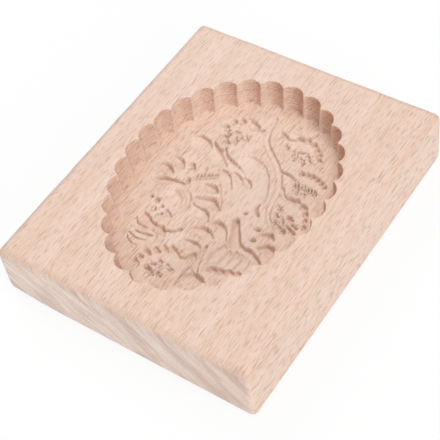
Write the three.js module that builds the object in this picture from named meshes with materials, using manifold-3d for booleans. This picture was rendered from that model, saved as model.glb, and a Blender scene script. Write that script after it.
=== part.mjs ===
// Wooden cookie mould: one plank of beech with an egg-shaped fluted recess.
// Leaves, a vine, a bloom, pumpkins, an apple and a bird are carved into its floor.
// Millimetres, +Z up, origin at the middle of the underside, grain along Y.
import * as THREE from 'three';
import { mergeVertices } from 'three/addons/utils/BufferGeometryUtils.js';
import Module from 'manifold-3d';

const wasm = await Module();
wasm.setup();

// Plank
const LENGTH = 120;
const WIDTH = 98.5;
const THICKNESS = 22.5;
const CORNER_RADIUS = 2.1;
const TOP_EDGE_RADIUS = 3;
const BOTTOM_EDGE_RADIUS = 2.2;
const SHARPEST_CORNER = 0.2;
const CORNER_STEPS = 5;
const EDGE_STEPS = 4;

// Recess, wider at the far end than at the near end like an egg
const END_MARGIN = 12.6;
const SIDE_MARGIN = 12.3;
const RECESS_DEPTH = 10.8;
const RECESS_OFFSET_X = -0.8;
const RECESS_OFFSET_Y = -0.1;
const EGG_TAPER = 0.085;
const WALL_DRAFT = 0.5;
const FOOT_RADIUS = 0.4;
const FOOT_STEPS = 2;
const RIM_EASE = 0.25;

// Flutes around the recess, each a round scoop; the lands between them widen towards the floor
const FLUTE_COUNT = 30;
const FLUTE_DEPTH = 2.3;
const RIM_LAND = 0.1;
const FOOT_LAND = 1.6;
const FLUTE_STEPS = 6;
const FIRST_FLUTE_OFFSET = -0.7;

// Carving depths below the floor of the recess
const LEAF_DEPTH = 0.9;
const BITE_DEPTH = 2.2;
const VEIN_DEPTH = 1.9;
const VINE_DEPTH = 1;
const STEM_DEPTH = 1.3;
const PETAL_DEPTH = 2.3;
const BUD_DEPTH = 1.2;
const BUD_STEP_DEPTH = 0.6;
const RIB_DEPTH = 2.1;
const STALK_DEPTH = 2.4;
const APPLE_DEPTH = 2.2;
const BERRY_DEPTH = 1.9;
const BODY_DEPTH = 1.3;
const TAIL_DEPTH = 1.7;
const WING_DEPTH = 3;
const STROKE_DEPTH = 2;
const EYE_DEPTH = 3;

// A gouge enters steeply on one side, in degrees from +X, and runs out in a long ramp on the other
const WALL_SIDE = 70;
const WALL_STEEPNESS = 0.8;
const GOUGE_RUN = 0.86;
const GOUGE_FULLNESS = 0.62;
const PETAL_TAPER = 0.35;
const BODY_TAPER = 0.12;
const RIB_WALL_SIDE = 30;
const BUD_WALL_SIDE = -25;

// Widths and counts of the carving
const VINE_WIDTH = 2.2;
const VINE_STEPS = 26;
const EYE_WIDTH = 1.7;
const BUD_RINGS = 3;
const BUD_SHRINK = 0.25;

// Leaves: bites along the far edge, and short veins on both sides of the middle
const BITE_LENGTH = 3.2;
const BITE_WIDTH = 2.4;
const BITE_INSET_SHARE = 0.12;
const BITE_START = 35;
const BITE_END = 165;
const VEINS_PER_SIDE = 2;
const VEIN_WIDTH = 1;
const VEIN_LENGTH = 2.4;
const VEIN_SPREAD_SHARE = 0.5;
const VEIN_OFFSET_SHARE = 0.16;
const VEIN_ANGLE = 50;

// Facets of the cutters, around and from rim to bottom
const SMALL_FACETS = [8, 2];
const MEDIUM_FACETS = [11, 3];
const LARGE_FACETS = [18, 3];
const VINE_FACETS = 4;

// The carving is drawn on an oval of these half sizes and fitted to the floor
const DRAWING_HALF_WIDTH = 34.6;
const DRAWING_HALF_LENGTH = 45;

// A cutter stands this far above the surface that it cuts
const CUT_CLEARANCE = 1;

const floorZ = THICKNESS - RECESS_DEPTH;
const halfWidth = WIDTH / 2 - SIDE_MARGIN - FLUTE_DEPTH;
const halfLength = LENGTH / 2 - END_MARGIN - FLUTE_DEPTH;
const drawingScale = Math.min(halfWidth / DRAWING_HALF_WIDTH, halfLength / DRAWING_HALF_LENGTH);

// Motifs: middle, size and the way that the tip points, in degrees from +X
const LEAVES = [
  { x: -12.6, y: 29.4, length: 14.5, width: 12, heading: 205, bites: 4 },
  { x: 11.2, y: 31.3, length: 19.5, width: 11, heading: -14, bites: 6 },
  { x: 21.8, y: 19.7, length: 12.8, width: 8.2, heading: -4, bites: 6 },
  { x: 23.4, y: 4.5, length: 15.5, width: 12, heading: -42, bites: 6 },
  { x: -16.6, y: -13.3, length: 14, width: 6.4, heading: -20, bites: 4 },
  { x: -4.2, y: -31.3, length: 17.5, width: 12, heading: 207, bites: 5 },
];

const VINE_PATH = [
  [-3.7, 39.1], [-3.4, 34.3], [-2, 30.1], [1, 26.5], [5.4, 23.1], [9.4, 19.5],
  [12.4, 15.1], [14.3, 10.7], [14.9, 6.1], [16.4, 1.7], [20, -2.1],
];

const STEMS = [
  { x: -5.2, y: 32.5, length: 4.6, width: 1.8, heading: 165 },
  { x: 13.3, y: 19.4, length: 6.5, width: 1.6, heading: -10 },
  { x: 16.4, y: 12, length: 4.6, width: 1.7, heading: -47 },
  { x: 6.8, y: -25, length: 11, width: 2.4, heading: -76 },
  { x: -7.9, y: -19, length: 5, width: 1.5, heading: 35 },
];

const BLOOM_PETALS = [
  { x: -26.2, y: 1.3, length: 9.6, width: 6.6, heading: -12 },
  { x: -22.6, y: 5.5, length: 6.8, width: 6, heading: -35 },
  { x: -18, y: 6.5, length: 4.6, width: 4.4, heading: -50 },
  { x: -11.2, y: 5.6, length: 7.6, width: 2.2, heading: 33 },
  { x: -6.8, y: 0.7, length: 8.6, width: 6.6, heading: -6 },
  { x: -4.2, y: -4.8, length: 11.2, width: 7.4, heading: -12 },
  { x: -4.2, y: -9.8, length: 9.8, width: 7, heading: -18 },
  { x: -24.6, y: -2.4, length: 8.4, width: 2.8, heading: 186 },
];
const BUD = { x: -14.6, y: -7.3, length: 11.8, width: 10.2, heading: -60, wallSide: BUD_WALL_SIDE };

const LOOSE_PETALS = [
  { x: 5.2, y: -12.5, length: 10.6, width: 8, heading: 140 },
  { x: 1.8, y: -16.9, length: 9.6, width: 8.4 },
  { x: 1.6, y: -22.3, length: 8.4, width: 6.6, heading: 12 },
  { x: 20.8, y: -7.6, length: 8, width: 4.8, heading: 48 },
  { x: 24.5, y: -12.5, length: 7.8, width: 6.4, heading: 4 },
];

const SMALL_PUMPKIN = [
  { x: -17, y: -20.3, length: 9.6, width: 5.6, heading: -14 },
  { x: -11.5, y: -21.7, length: 6.2, width: 5.8, heading: -20 },
  { x: -18.2, y: -23.2, length: 10.4, width: 4.8, heading: -4 },
  { x: -16, y: -25.8, length: 9.4, width: 4.6, heading: 8 },
  { x: -16.6, y: -28.5, length: 11.6, width: 4.4, heading: 2 },
];

const LARGE_PUMPKIN_TOP = { x: 19.4, y: -16.3, length: 11.4, width: 5.2, heading: -13 };
const LARGE_PUMPKIN = [
  { x: 11.7, y: -20.7, length: 11, width: 4.8, heading: -99 },
  { x: 14.9, y: -20.3, length: 12.4, width: 4.6, heading: -84 },
  { x: 18.2, y: -19.3, length: 12.2, width: 4.6, heading: -66 },
  { x: 21.3, y: -18.1, length: 9.6, width: 4.4, heading: -46 },
];
const PUMPKIN_STALK = { x: 10.8, y: -9.6, length: 11, width: 3.2, heading: 122 };

const APPLE_HALVES = [
  { x: 8.4, y: -33.1, length: 6.4, width: 7.4 },
  { x: 11.2, y: -33.1, length: 6, width: 7.4 },
];

const BERRIES = [
  { x: 12.6, y: -26.5, length: 2.9, width: 2.6 },
  { x: 15.2, y: -25.7, length: 2.5, width: 2.4 },
  { x: 18, y: -25.1, length: 3.4, width: 3 },
  { x: 20.4, y: -23.8, length: 2.2, width: 2 },
  { x: 17, y: -5.3, length: 2.6, width: 1.7 },
  { x: 18, y: -9.8, length: 2.2, width: 1.6 },
];

const BIRD_BODY = { x: 3.2, y: 7.7, length: 27, width: 16.4, heading: 120, taper: BODY_TAPER };
const BIRD_EYE = { x: 9.3, y: -1.1, length: EYE_WIDTH, width: EYE_WIDTH };
const BIRD_TAIL = [
  { x: -20.8, y: 16.5, length: 10.6, width: 8, heading: 155 },
  { x: -11.8, y: 14.5, length: 16.5, width: 6.4, heading: 150 },
  { x: -5.8, y: 13.5, length: 12, width: 4.6, heading: 150 },
];
const BIRD_WING = [
  { x: -5.9, y: 6.9, length: 12.2, width: 8.2, heading: -42 },
  { x: -2.4, y: 9.1, length: 8.4, width: 6.2, heading: -44 },
  { x: 1.6, y: 9.5, length: 6.6, width: 5, heading: -48 },
];
const BIRD_STROKES = [
  { x: -12.6, y: 17, length: 12, width: 1.3, heading: -35 },
  { x: -6.2, y: 16.4, length: 13.4, width: 1.2, heading: -26 },
  { x: 12.4, y: 1.9, length: 5.6, width: 1.3, heading: -62 },
];

// Turns a closed geometry into a solid that can be joined and cut.
function solidFrom(geometry) {
  geometry.deleteAttribute('normal');
  geometry.deleteAttribute('uv');
  const merged = mergeVertices(geometry, 1e-4);
  return new wasm.Manifold(new wasm.Mesh({
    numProp: 3,
    vertProperties: new Float32Array(merged.attributes.position.array),
    triVerts: new Uint32Array(merged.index.array),
  }));
}

function geometryFrom(solid) {
  const mesh = solid.getMesh();
  const geometry = new THREE.BufferGeometry();
  geometry.setAttribute('position', new THREE.BufferAttribute(mesh.vertProperties, mesh.numProp));
  geometry.setIndex(new THREE.BufferAttribute(mesh.triVerts, 1));
  geometry.computeVertexNormals();
  return geometry;
}

// A closed skin over rings of equal counts, counter-clockwise, from the lowest to the highest.
function loft(rings) {
  const count = rings[0].length;
  const positions = rings.flat().flatMap((point) => [point.x, point.y, point.z]);
  const indices = [];
  for (let ring = 0; ring + 1 < rings.length; ring += 1) {
    for (let i = 0; i < count; i += 1) {
      const here = ring * count + i;
      const next = ring * count + (i + 1) % count;
      indices.push(here, next, next + count, here, next + count, here + count);
    }
  }
  addCap(rings[0], 0, false);
  addCap(rings[rings.length - 1], (rings.length - 1) * count, true);

  function addCap(ring, first, facesUp) {
    const middle = new THREE.Vector3();
    ring.forEach((point) => middle.add(point));
    middle.divideScalar(count);
    const hub = positions.length / 3;
    positions.push(middle.x, middle.y, middle.z);
    for (let i = 0; i < count; i += 1) {
      const here = first + i;
      const next = first + (i + 1) % count;
      indices.push(hub, facesUp ? here : next, facesUp ? next : here);
    }
  }

  const geometry = new THREE.BufferGeometry();
  geometry.setAttribute('position', new THREE.Float32BufferAttribute(positions, 3));
  geometry.setIndex(indices);
  return geometry;
}

// Plank: a rounded rectangle drawn in towards its top and bottom edges
function plankRing(inset, z) {
  const radius = Math.max(CORNER_RADIUS - inset, SHARPEST_CORNER);
  const ring = [];
  for (let corner = 0; corner < 4; corner += 1) {
    const middleX = (corner === 0 || corner === 3 ? 1 : -1) * (WIDTH / 2 - inset - radius);
    const middleY = (corner < 2 ? 1 : -1) * (LENGTH / 2 - inset - radius);
    for (let step = 0; step <= CORNER_STEPS; step += 1) {
      const angle = (corner + step / CORNER_STEPS) * Math.PI / 2;
      const x = middleX + radius * Math.cos(angle);
      const y = middleY + radius * Math.sin(angle);
      ring.push(new THREE.Vector3(x, y, z));
    }
  }
  return ring;
}

function makePlank() {
  const rings = [];
  for (let step = 0; step <= EDGE_STEPS; step += 1) {
    const angle = step / EDGE_STEPS * Math.PI / 2;
    const z = BOTTOM_EDGE_RADIUS * (1 - Math.cos(angle));
    rings.push(plankRing(BOTTOM_EDGE_RADIUS * (1 - Math.sin(angle)), z));
  }
  for (let step = 0; step <= EDGE_STEPS; step += 1) {
    const angle = step / EDGE_STEPS * Math.PI / 2;
    const z = THICKNESS - TOP_EDGE_RADIUS * (1 - Math.sin(angle));
    rings.push(plankRing(TOP_EDGE_RADIUS * (1 - Math.cos(angle)), z));
  }
  return solidFrom(loft(rings));
}

// Recess: the curve through the lands between the flutes, from the far end round by the left
class LandCurve extends THREE.Curve {
  getPoint(t, target = new THREE.Vector3()) {
    const angle = 2 * Math.PI * t;
    const taper = 1 + EGG_TAPER * Math.cos(angle);
    return target.set(-halfWidth * Math.sin(angle) * taper, halfLength * Math.cos(angle), 0);
  }
}

// The fluted outline of the recess at one height, drawn in by an inset
function flutedRing(inset, z) {
  const curve = new LandCurve();
  curve.arcLengthDivisions = FLUTE_COUNT * FLUTE_STEPS * 4;
  const length = curve.getLength();
  const pitch = length / FLUTE_COUNT;
  const down = THREE.MathUtils.clamp((THICKNESS - z) / RECESS_DEPTH, 0, 1);
  const halfChord = (pitch - THREE.MathUtils.lerp(RIM_LAND, FOOT_LAND, down)) / 2;
  const fluteRadius = (halfChord ** 2 + FLUTE_DEPTH ** 2) / (2 * FLUTE_DEPTH);
  const ring = [];
  for (let i = 0; i < FLUTE_COUNT * (FLUTE_STEPS + 1); i += 1) {
    const step = i % (FLUTE_STEPS + 1);
    const flute = (i - step) / (FLUTE_STEPS + 1);
    const across = (2 * step / FLUTE_STEPS - 1) * halfChord;
    const scoop = Math.sqrt(fluteRadius ** 2 - across ** 2) - (fluteRadius - FLUTE_DEPTH);
    const along = flute * pitch + across + FIRST_FLUTE_OFFSET;
    const u = THREE.MathUtils.euclideanModulo(along / length, 1);
    const point = curve.getPointAt(u);
    const tangent = curve.getTangentAt(u);
    ring.push(new THREE.Vector3(
      RECESS_OFFSET_X + point.x + tangent.y * (scoop - inset),
      RECESS_OFFSET_Y + point.y - tangent.x * (scoop - inset),
      z,
    ));
  }
  return ring;
}

function makeRecess() {
  const wallInset = (z) => WALL_DRAFT * (THICKNESS - z) / RECESS_DEPTH;
  const rings = [];
  for (let step = 0; step <= FOOT_STEPS; step += 1) {
    const angle = step / FOOT_STEPS * Math.PI / 2;
    const z = floorZ + FOOT_RADIUS * (1 - Math.cos(angle));
    rings.push(flutedRing(wallInset(z) + FOOT_RADIUS * (1 - Math.sin(angle)), z));
  }
  const easeZ = THICKNESS - RIM_EASE;
  rings.push(flutedRing(wallInset(easeZ), easeZ));
  rings.push(flutedRing(-RIM_EASE, THICKNESS));
  rings.push(flutedRing(-RIM_EASE, THICKNESS + CUT_CLEARANCE));
  return solidFrom(loft(rings));
}

// Moves a cutter from its own middle to its place on the floor, at the drawing's scale.
function placeOnFloor(geometry, { x, y, heading = 0 }) {
  geometry.rotateZ(THREE.MathUtils.degToRad(heading));
  geometry.translate(x, y, 0);
  geometry.scale(drawingScale, drawingScale, 1);
  geometry.translate(RECESS_OFFSET_X, RECESS_OFFSET_Y, floorZ);
  return solidFrom(geometry);
}

// A gouge cut: an oval hollow whose rings draw in towards its wall as they go down.
function gougeCut(motif, depth, [around, levels] = MEDIUM_FACETS) {
  const { length, width, heading = 0, taper = 0, wallSide = WALL_SIDE } = motif;
  const towards = THREE.MathUtils.degToRad(wallSide - heading);
  const wallX = length / 2 * Math.cos(towards);
  const wallY = width / 2 * Math.sin(towards);
  const oval = (share, z) => {
    const shift = (1 - share) * WALL_STEEPNESS * Math.hypot(wallX, wallY);
    const ring = [];
    for (let i = 0; i < around; i += 1) {
      const angle = 2 * Math.PI * i / around;
      const fullness = 1 - taper * (1 - Math.cos(angle)) / 2;
      ring.push(new THREE.Vector3(
        share * Math.cos(angle) * length / 2 + shift * Math.cos(towards),
        share * Math.sin(angle) * fullness * width / 2 + shift * Math.sin(towards),
        z,
      ));
    }
    return ring;
  };
  const rings = [];
  for (let level = levels; level >= 0; level -= 1) {
    const down = level / levels;
    rings.push(oval(1 - GOUGE_RUN * down, -depth * down ** GOUGE_FULLNESS));
  }
  rings.push(oval(1, CUT_CLEARANCE));
  return placeOnFloor(loft(rings), motif);
}

// A leaf: a shallow dish, deep bites along its far edge and short veins beside its middle.
function leafCut(leaf) {
  const turn = THREE.MathUtils.degToRad(leaf.heading);
  const farSide = Math.sign(Math.cos(turn));
  const onLeaf = (along, across) => ({
    x: leaf.x + along * Math.cos(turn) - across * Math.sin(turn),
    y: leaf.y + along * Math.sin(turn) + across * Math.cos(turn),
  });
  const cuts = [gougeCut(leaf, LEAF_DEPTH)];
  for (let i = 0; i < leaf.bites; i += 1) {
    const angle = THREE.MathUtils.degToRad(BITE_START + (BITE_END - BITE_START) * i / (leaf.bites - 1));
    const along = (1 - BITE_INSET_SHARE) * leaf.length / 2 * Math.cos(angle);
    const across = (1 - BITE_INSET_SHARE) * leaf.width / 2 * Math.sin(angle) * farSide;
    const heading = leaf.heading + THREE.MathUtils.radToDeg(Math.atan2(across, along));
    cuts.push(gougeCut({ ...onLeaf(along, across), length: BITE_LENGTH, width: BITE_WIDTH, heading },
      BITE_DEPTH, SMALL_FACETS));
  }
  for (let i = 0; i < VEINS_PER_SIDE; i += 1) {
    for (const side of [-1, 1]) {
      const along = ((i + 0.5) / VEINS_PER_SIDE - 0.5) * leaf.length * VEIN_SPREAD_SHARE;
      const across = side * leaf.width * VEIN_OFFSET_SHARE;
      const heading = leaf.heading + side * VEIN_ANGLE;
      cuts.push(gougeCut({ ...onLeaf(along, across), length: VEIN_LENGTH, width: VEIN_WIDTH, heading },
        VEIN_DEPTH, SMALL_FACETS));
    }
  }
  return cuts;
}

// A bud: ovals inside each other, each a step deeper and smaller.
function budCuts() {
  const cuts = [];
  for (let i = 0; i < BUD_RINGS; i += 1) {
    const size = 1 - BUD_SHRINK * i;
    const ring = { ...BUD, length: BUD.length * size, width: BUD.width * size };
    cuts.push(gougeCut(ring, BUD_DEPTH + BUD_STEP_DEPTH * i));
  }
  return cuts;
}

// The vine: a round-bottomed groove along a smooth curve.
function vineCut() {
  const path = new THREE.CatmullRomCurve3(VINE_PATH.map(([x, y]) => new THREE.Vector3(x, y, 0)));
  const section = new THREE.Shape();
  section.absellipse(0, 0, VINE_DEPTH, VINE_WIDTH / 2, 0, 2 * Math.PI);
  const geometry = new THREE.ExtrudeGeometry(section, {
    steps: VINE_STEPS,
    curveSegments: VINE_FACETS,
    extrudePath: path,
  });
  return placeOnFloor(geometry, { x: 0, y: 0 });
}

// The bird: a broad shallow body, tail and wing feathers, long strokes and a deep round eye.
function birdCuts() {
  return [
    gougeCut(BIRD_BODY, BODY_DEPTH, LARGE_FACETS),
    ...BIRD_TAIL.map((feather) => gougeCut(feather, TAIL_DEPTH)),
    ...BIRD_WING.map((feather) => gougeCut(feather, WING_DEPTH)),
    ...BIRD_STROKES.map((stroke) => gougeCut(stroke, STROKE_DEPTH, SMALL_FACETS)),
    gougeCut(BIRD_EYE, EYE_DEPTH, SMALL_FACETS),
  ];
}

function makeCarving() {
  return wasm.Manifold.union([
    ...LEAVES.flatMap(leafCut),
    vineCut(),
    ...STEMS.map((stem) => gougeCut(stem, STEM_DEPTH, SMALL_FACETS)),
    ...BLOOM_PETALS.map((petal) => gougeCut({ ...petal, taper: PETAL_TAPER }, PETAL_DEPTH)),
    ...LOOSE_PETALS.map((petal) => gougeCut(petal, PETAL_DEPTH)),
    ...budCuts(),
    ...SMALL_PUMPKIN.map((rib) => gougeCut(rib, RIB_DEPTH)),
    gougeCut(LARGE_PUMPKIN_TOP, RIB_DEPTH),
    ...LARGE_PUMPKIN.map((rib) => gougeCut({ ...rib, wallSide: RIB_WALL_SIDE }, RIB_DEPTH)),
    gougeCut(PUMPKIN_STALK, STALK_DEPTH),
    ...APPLE_HALVES.map((half) => gougeCut(half, APPLE_DEPTH)),
    ...BERRIES.map((berry) => gougeCut(berry, BERRY_DEPTH, SMALL_FACETS)),
    ...birdCuts(),
  ]);
}

const beech = new THREE.MeshStandardMaterial({ color: 0xe4ccba, roughness: 0.62, metalness: 0 });

const carvedPlank = makePlank().subtract(makeRecess()).subtract(makeCarving());
const block = new THREE.Mesh(geometryFrom(carvedPlank), beech);
block.name = 'mould_block';
const mould = new THREE.Group();
mould.add(block);

export default mould;
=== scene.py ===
"""Looks of the wooden cookie mould: one carved beech plank, lying on a white floor.

Everything is worked out in millimetres in the CAD frame and turned into metres at the end.
"""
import math

import bpy
import numpy as np
from mathutils import Matrix, Vector


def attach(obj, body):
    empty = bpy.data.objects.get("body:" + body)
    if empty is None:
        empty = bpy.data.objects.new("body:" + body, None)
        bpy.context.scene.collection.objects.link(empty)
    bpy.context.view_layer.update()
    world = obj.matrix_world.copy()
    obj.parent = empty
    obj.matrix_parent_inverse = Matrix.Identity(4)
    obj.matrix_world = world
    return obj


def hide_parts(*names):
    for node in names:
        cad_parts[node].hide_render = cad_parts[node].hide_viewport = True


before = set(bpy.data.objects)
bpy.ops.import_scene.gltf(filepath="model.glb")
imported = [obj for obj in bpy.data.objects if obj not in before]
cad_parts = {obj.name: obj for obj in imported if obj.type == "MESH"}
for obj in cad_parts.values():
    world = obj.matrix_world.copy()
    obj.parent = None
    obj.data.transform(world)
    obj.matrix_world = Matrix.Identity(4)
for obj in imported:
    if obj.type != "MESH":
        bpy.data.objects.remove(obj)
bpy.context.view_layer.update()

MM = 0.001

# Plank, as in the CAD part
LENGTH, WIDTH, THICKNESS = 120.0, 98.5, 22.5
CORNER_RADIUS = 2.1
TOP_EDGE_RADIUS = 3.0
BOTTOM_EDGE_RADIUS = 2.2

# Recess and its flutes, as in the CAD part
RIDGE_HALF_WIDTH, RIDGE_HALF_LENGTH = 34.65, 45.1
OFFSET_X, OFFSET_Y = -0.8, -0.1
FLOOR_Z = 11.7
EGG_TAPER = 0.085
WALL_DRAFT = 0.5
FOOT_RADIUS = 0.4
RIM_EASE = 0.25
FLUTE_COUNT = 30
FLUTE_DEPTH = 2.3
FIRST_FLUTE_OFFSET = -0.7
RIM_LAND, FOOT_LAND = 0.1, 1.6
RECESS_DEPTH = THICKNESS - FLOOR_Z

# Unevenness of the hand work. Two near corners are rounder than the others: the left one
# at the bottom and the right one at the top. Their angles are in radians round the middle.
DEPTH_SPREAD = 0.12
EDGE_WAVER = 0.2
NEAR_LEFT_ANGLE, NEAR_RIGHT_ANGLE = -2.26, -0.86
NEAR_LEFT_EXTRA, NEAR_RIGHT_EXTRA = 2.2, 0.5
CORNER_SPREAD = 0.12

# Leaves: depth of the dish and of its bites. Each nick's points run on past its ends by a share
# of its length, it is cut a little wider and deeper than listed, and chips reach out round it.
LEAF_DEPTH, LEAF_BITE_DEPTH = 0.9, 2.2
NICK_POINT, NICK_WIDEN, NICK_DEEPEN = 0.22, 1.08, 1.1
CHIP_REACH = 1.5

# Mesh: columns round the block, rings down the wall and in the band that smooths the flutes out
# at the edge of the floor, and the column at which the square patch inside that band starts
COLUMNS_PER_FLUTE = 32
COLUMNS = FLUTE_COUNT * COLUMNS_PER_FLUTE
WALL_RINGS = 9
BAND_RINGS = 5
BAND_WIDTH = 2.4
PATCH_START = 119

# Attributes of the mesh that colour its rings; floor_look gives those of the floor
RING_VALUES = ("cut_wall", "darker_top_edge", "foot_shade", "flank_light", "painted_flank_shade",
               "across_flute", "mark_start")

random = np.random.default_rng(7)


def noise2(x, y, size, seed):
    """Smooth noise from -1 to 1 with lumps of the given size."""
    table = np.random.default_rng(seed).uniform(-1, 1, (64, 64))
    u, v = np.asarray(x) / size, np.asarray(y) / size
    i, k = np.floor(u).astype(int), np.floor(v).astype(int)
    fu, fv = u - i, v - k
    fu, fv = fu * fu * (3 - 2 * fu), fv * fv * (3 - 2 * fv)
    def at(a, b):
        return table[a % 64, b % 64]
    low = at(i, k) * (1 - fu) + at(i + 1, k) * fu
    high = at(i, k + 1) * (1 - fu) + at(i + 1, k + 1) * fu
    return low * (1 - fv) + high * fv


class Carving:
    """Depth of the carving below the floor, in mm, and its torn places, with lines that waver a little."""
    def __init__(self, x, y):
        self.x = x + 0.22 * noise2(x, y, 2.6, 11) + 0.07 * noise2(x, y, 0.9, 13)
        self.y = y + 0.22 * noise2(x, y, 2.6, 12) + 0.07 * noise2(x, y, 0.9, 14)
        self.chips = 0.7 + 1.1 * np.clip(noise2(self.x * 1.3, self.y * 0.8, 0.62, 41), -0.3, 1)
        self.depth = np.zeros_like(x)
        self.torn = np.zeros_like(x)

    def dig(self, depth):
        self.depth = np.maximum(self.depth, depth)

    def scoop(self, cx, cy, length, width, heading, depth, taper=0.0, steep=78, soft=1.25, wall=0.22):
        """A gouged hollow: a wall towards the steep direction, and a long ramp on the other side."""
        turn, towards = math.radians(heading), math.radians(steep)
        dx, dy = self.x - cx, self.y - cy
        u = dx * math.cos(turn) + dy * math.sin(turn)
        v = dy * math.cos(turn) - dx * math.sin(turn)
        a = length / 2
        half = width / 2 * np.clip(1 - taper * (1 - u / a) / 2, 0.05, 1.3)
        inside = np.clip(1 - (u / a) ** 2 - (v / half) ** 2, 0, 1)
        reach = math.hypot(a * math.cos(towards - turn), width / 2 * math.sin(towards - turn))
        side = np.clip(1.5 * (dx * math.cos(towards) + dy * math.sin(towards)) / reach, -1, 1)
        self.dig(depth * (0.88 + 0.12 * side) * inside ** ((soft + wall) / 2 - (soft - wall) / 2 * side))

    def nick(self, x0, y0, x1, y1, width, depth):
        """A short pointed cut from one point to another."""
        length = math.hypot(x1 - x0, y1 - y0) + width
        heading = math.degrees(math.atan2(y1 - y0, x1 - x0))
        self.scoop((x0 + x1) / 2, (y0 + y1) / 2, length, width, heading, depth, soft=0.8, wall=0.4)

    def groove(self, path, width, depth, edge=0.5):
        """A round-bottomed groove along a smooth line through the points."""
        points = smooth_path(path)
        widths = np.atleast_1d(width)
        widths = np.interp(np.linspace(0, 1, len(points)), np.linspace(0, 1, len(widths)), widths)
        near = np.full_like(self.x, 1e9)
        for (px, py), w in zip(points, widths):
            near = np.minimum(near, np.hypot(self.x - px, self.y - py) / (w / 2))
        self.dig(depth * np.clip(1 - near ** 2, 0, 1) ** edge)

    def bite(self, path, run, depth, peak=0.6, deeper=False):
        """A steep wall along a smooth line, and a ramp that runs out on its right-hand side."""
        line = smooth_path(path, 6)
        low, high = line.min(0) - run, line.max(0) + run
        near = (self.x > low[0]) & (self.x < high[0]) & (self.y > low[1]) & (self.y < high[1])
        x, y = self.x[near], self.y[near]
        away, place, gap = np.full_like(x, 1e9), np.zeros_like(x), np.zeros_like(x)
        for i, ((ax, ay), (bx, by)) in enumerate(zip(line[:-1], line[1:])):
            dx, dy = bx - ax, by - ay
            size = math.hypot(dx, dy)
            along = np.clip(((x - ax) * dx + (y - ay) * dy) / size ** 2, 0, 1)
            distance = np.hypot(x - ax - along * dx, y - ay - along * dy)
            right = ((x - ax) * dy - (y - ay) * dx) / size
            closer = distance < away
            away = np.where(closer, distance, away)
            place = np.where(closer, (i + along) / (len(line) - 1), place)
            gap = np.where(closer, np.where(right < 0, -distance, distance), gap)
        swell = np.interp(place, (0, peak, 1), (0.38, 1, 0.45))
        reach = run * np.clip(4 * place * (1 - place), 0, 1) ** 0.4 + 0.2
        ramp = np.clip(1 - (gap / reach) ** 2, 0, 1) ** 0.9
        wall = np.clip(1 + gap / 0.4, 0, 1)
        cut = np.zeros_like(self.x)
        cut[near] = depth * swell * np.where(gap < 0, wall, ramp)
        self.dig(self.depth + cut if deeper else cut)

    def leaf(self, cx, cy, length, width, heading, bites, nicks):
        """A shallow dish with gouge bites along its edge and pointed cuts between its veins."""
        self.scoop(cx, cy, length, width, heading, LEAF_DEPTH, soft=1.0, wall=0.4)
        for bite in bites:
            self.scoop(*bite, LEAF_BITE_DEPTH)
        for x0, y0, x1, y1, cut_width, depth in nicks:
            more_x, more_y = NICK_POINT * (x1 - x0), NICK_POINT * (y1 - y0)
            self.nick(x0 - more_x, y0 - more_y, x1 + more_x, y1 + more_y,
                      NICK_WIDEN * cut_width, NICK_DEEPEN * depth)
            self.chip((x0 + x1) / 2, (y0 + y1) / 2, CHIP_REACH)

    def chip(self, cx, cy, reach):
        """Ragged little chips that a gouge leaves round a short cut."""
        near = np.exp(-((self.x - cx) ** 2 + (self.y - cy) ** 2) / reach ** 2)
        self.dig(near * self.chips)
        self.torn = np.maximum(self.torn, near)


def smooth_path(path, steps=12):
    """Catmull-Rom curve through the points."""
    p = np.array(path, float)
    p = np.vstack([2 * p[0] - p[1], p, 2 * p[-1] - p[-2]])
    t = np.linspace(0, 1, steps, endpoint=False)[:, None]
    out = []
    for i in range(1, len(p) - 2):
        a, b, c, d = p[i - 1:i + 3]
        out.append(0.5 * (2 * b + (c - a) * t + (2 * a - 5 * b + 4 * c - d) * t ** 2
                          + (3 * b - a - 3 * c + d) * t ** 3))
    return np.vstack(out + [p[-2:-1]])


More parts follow.
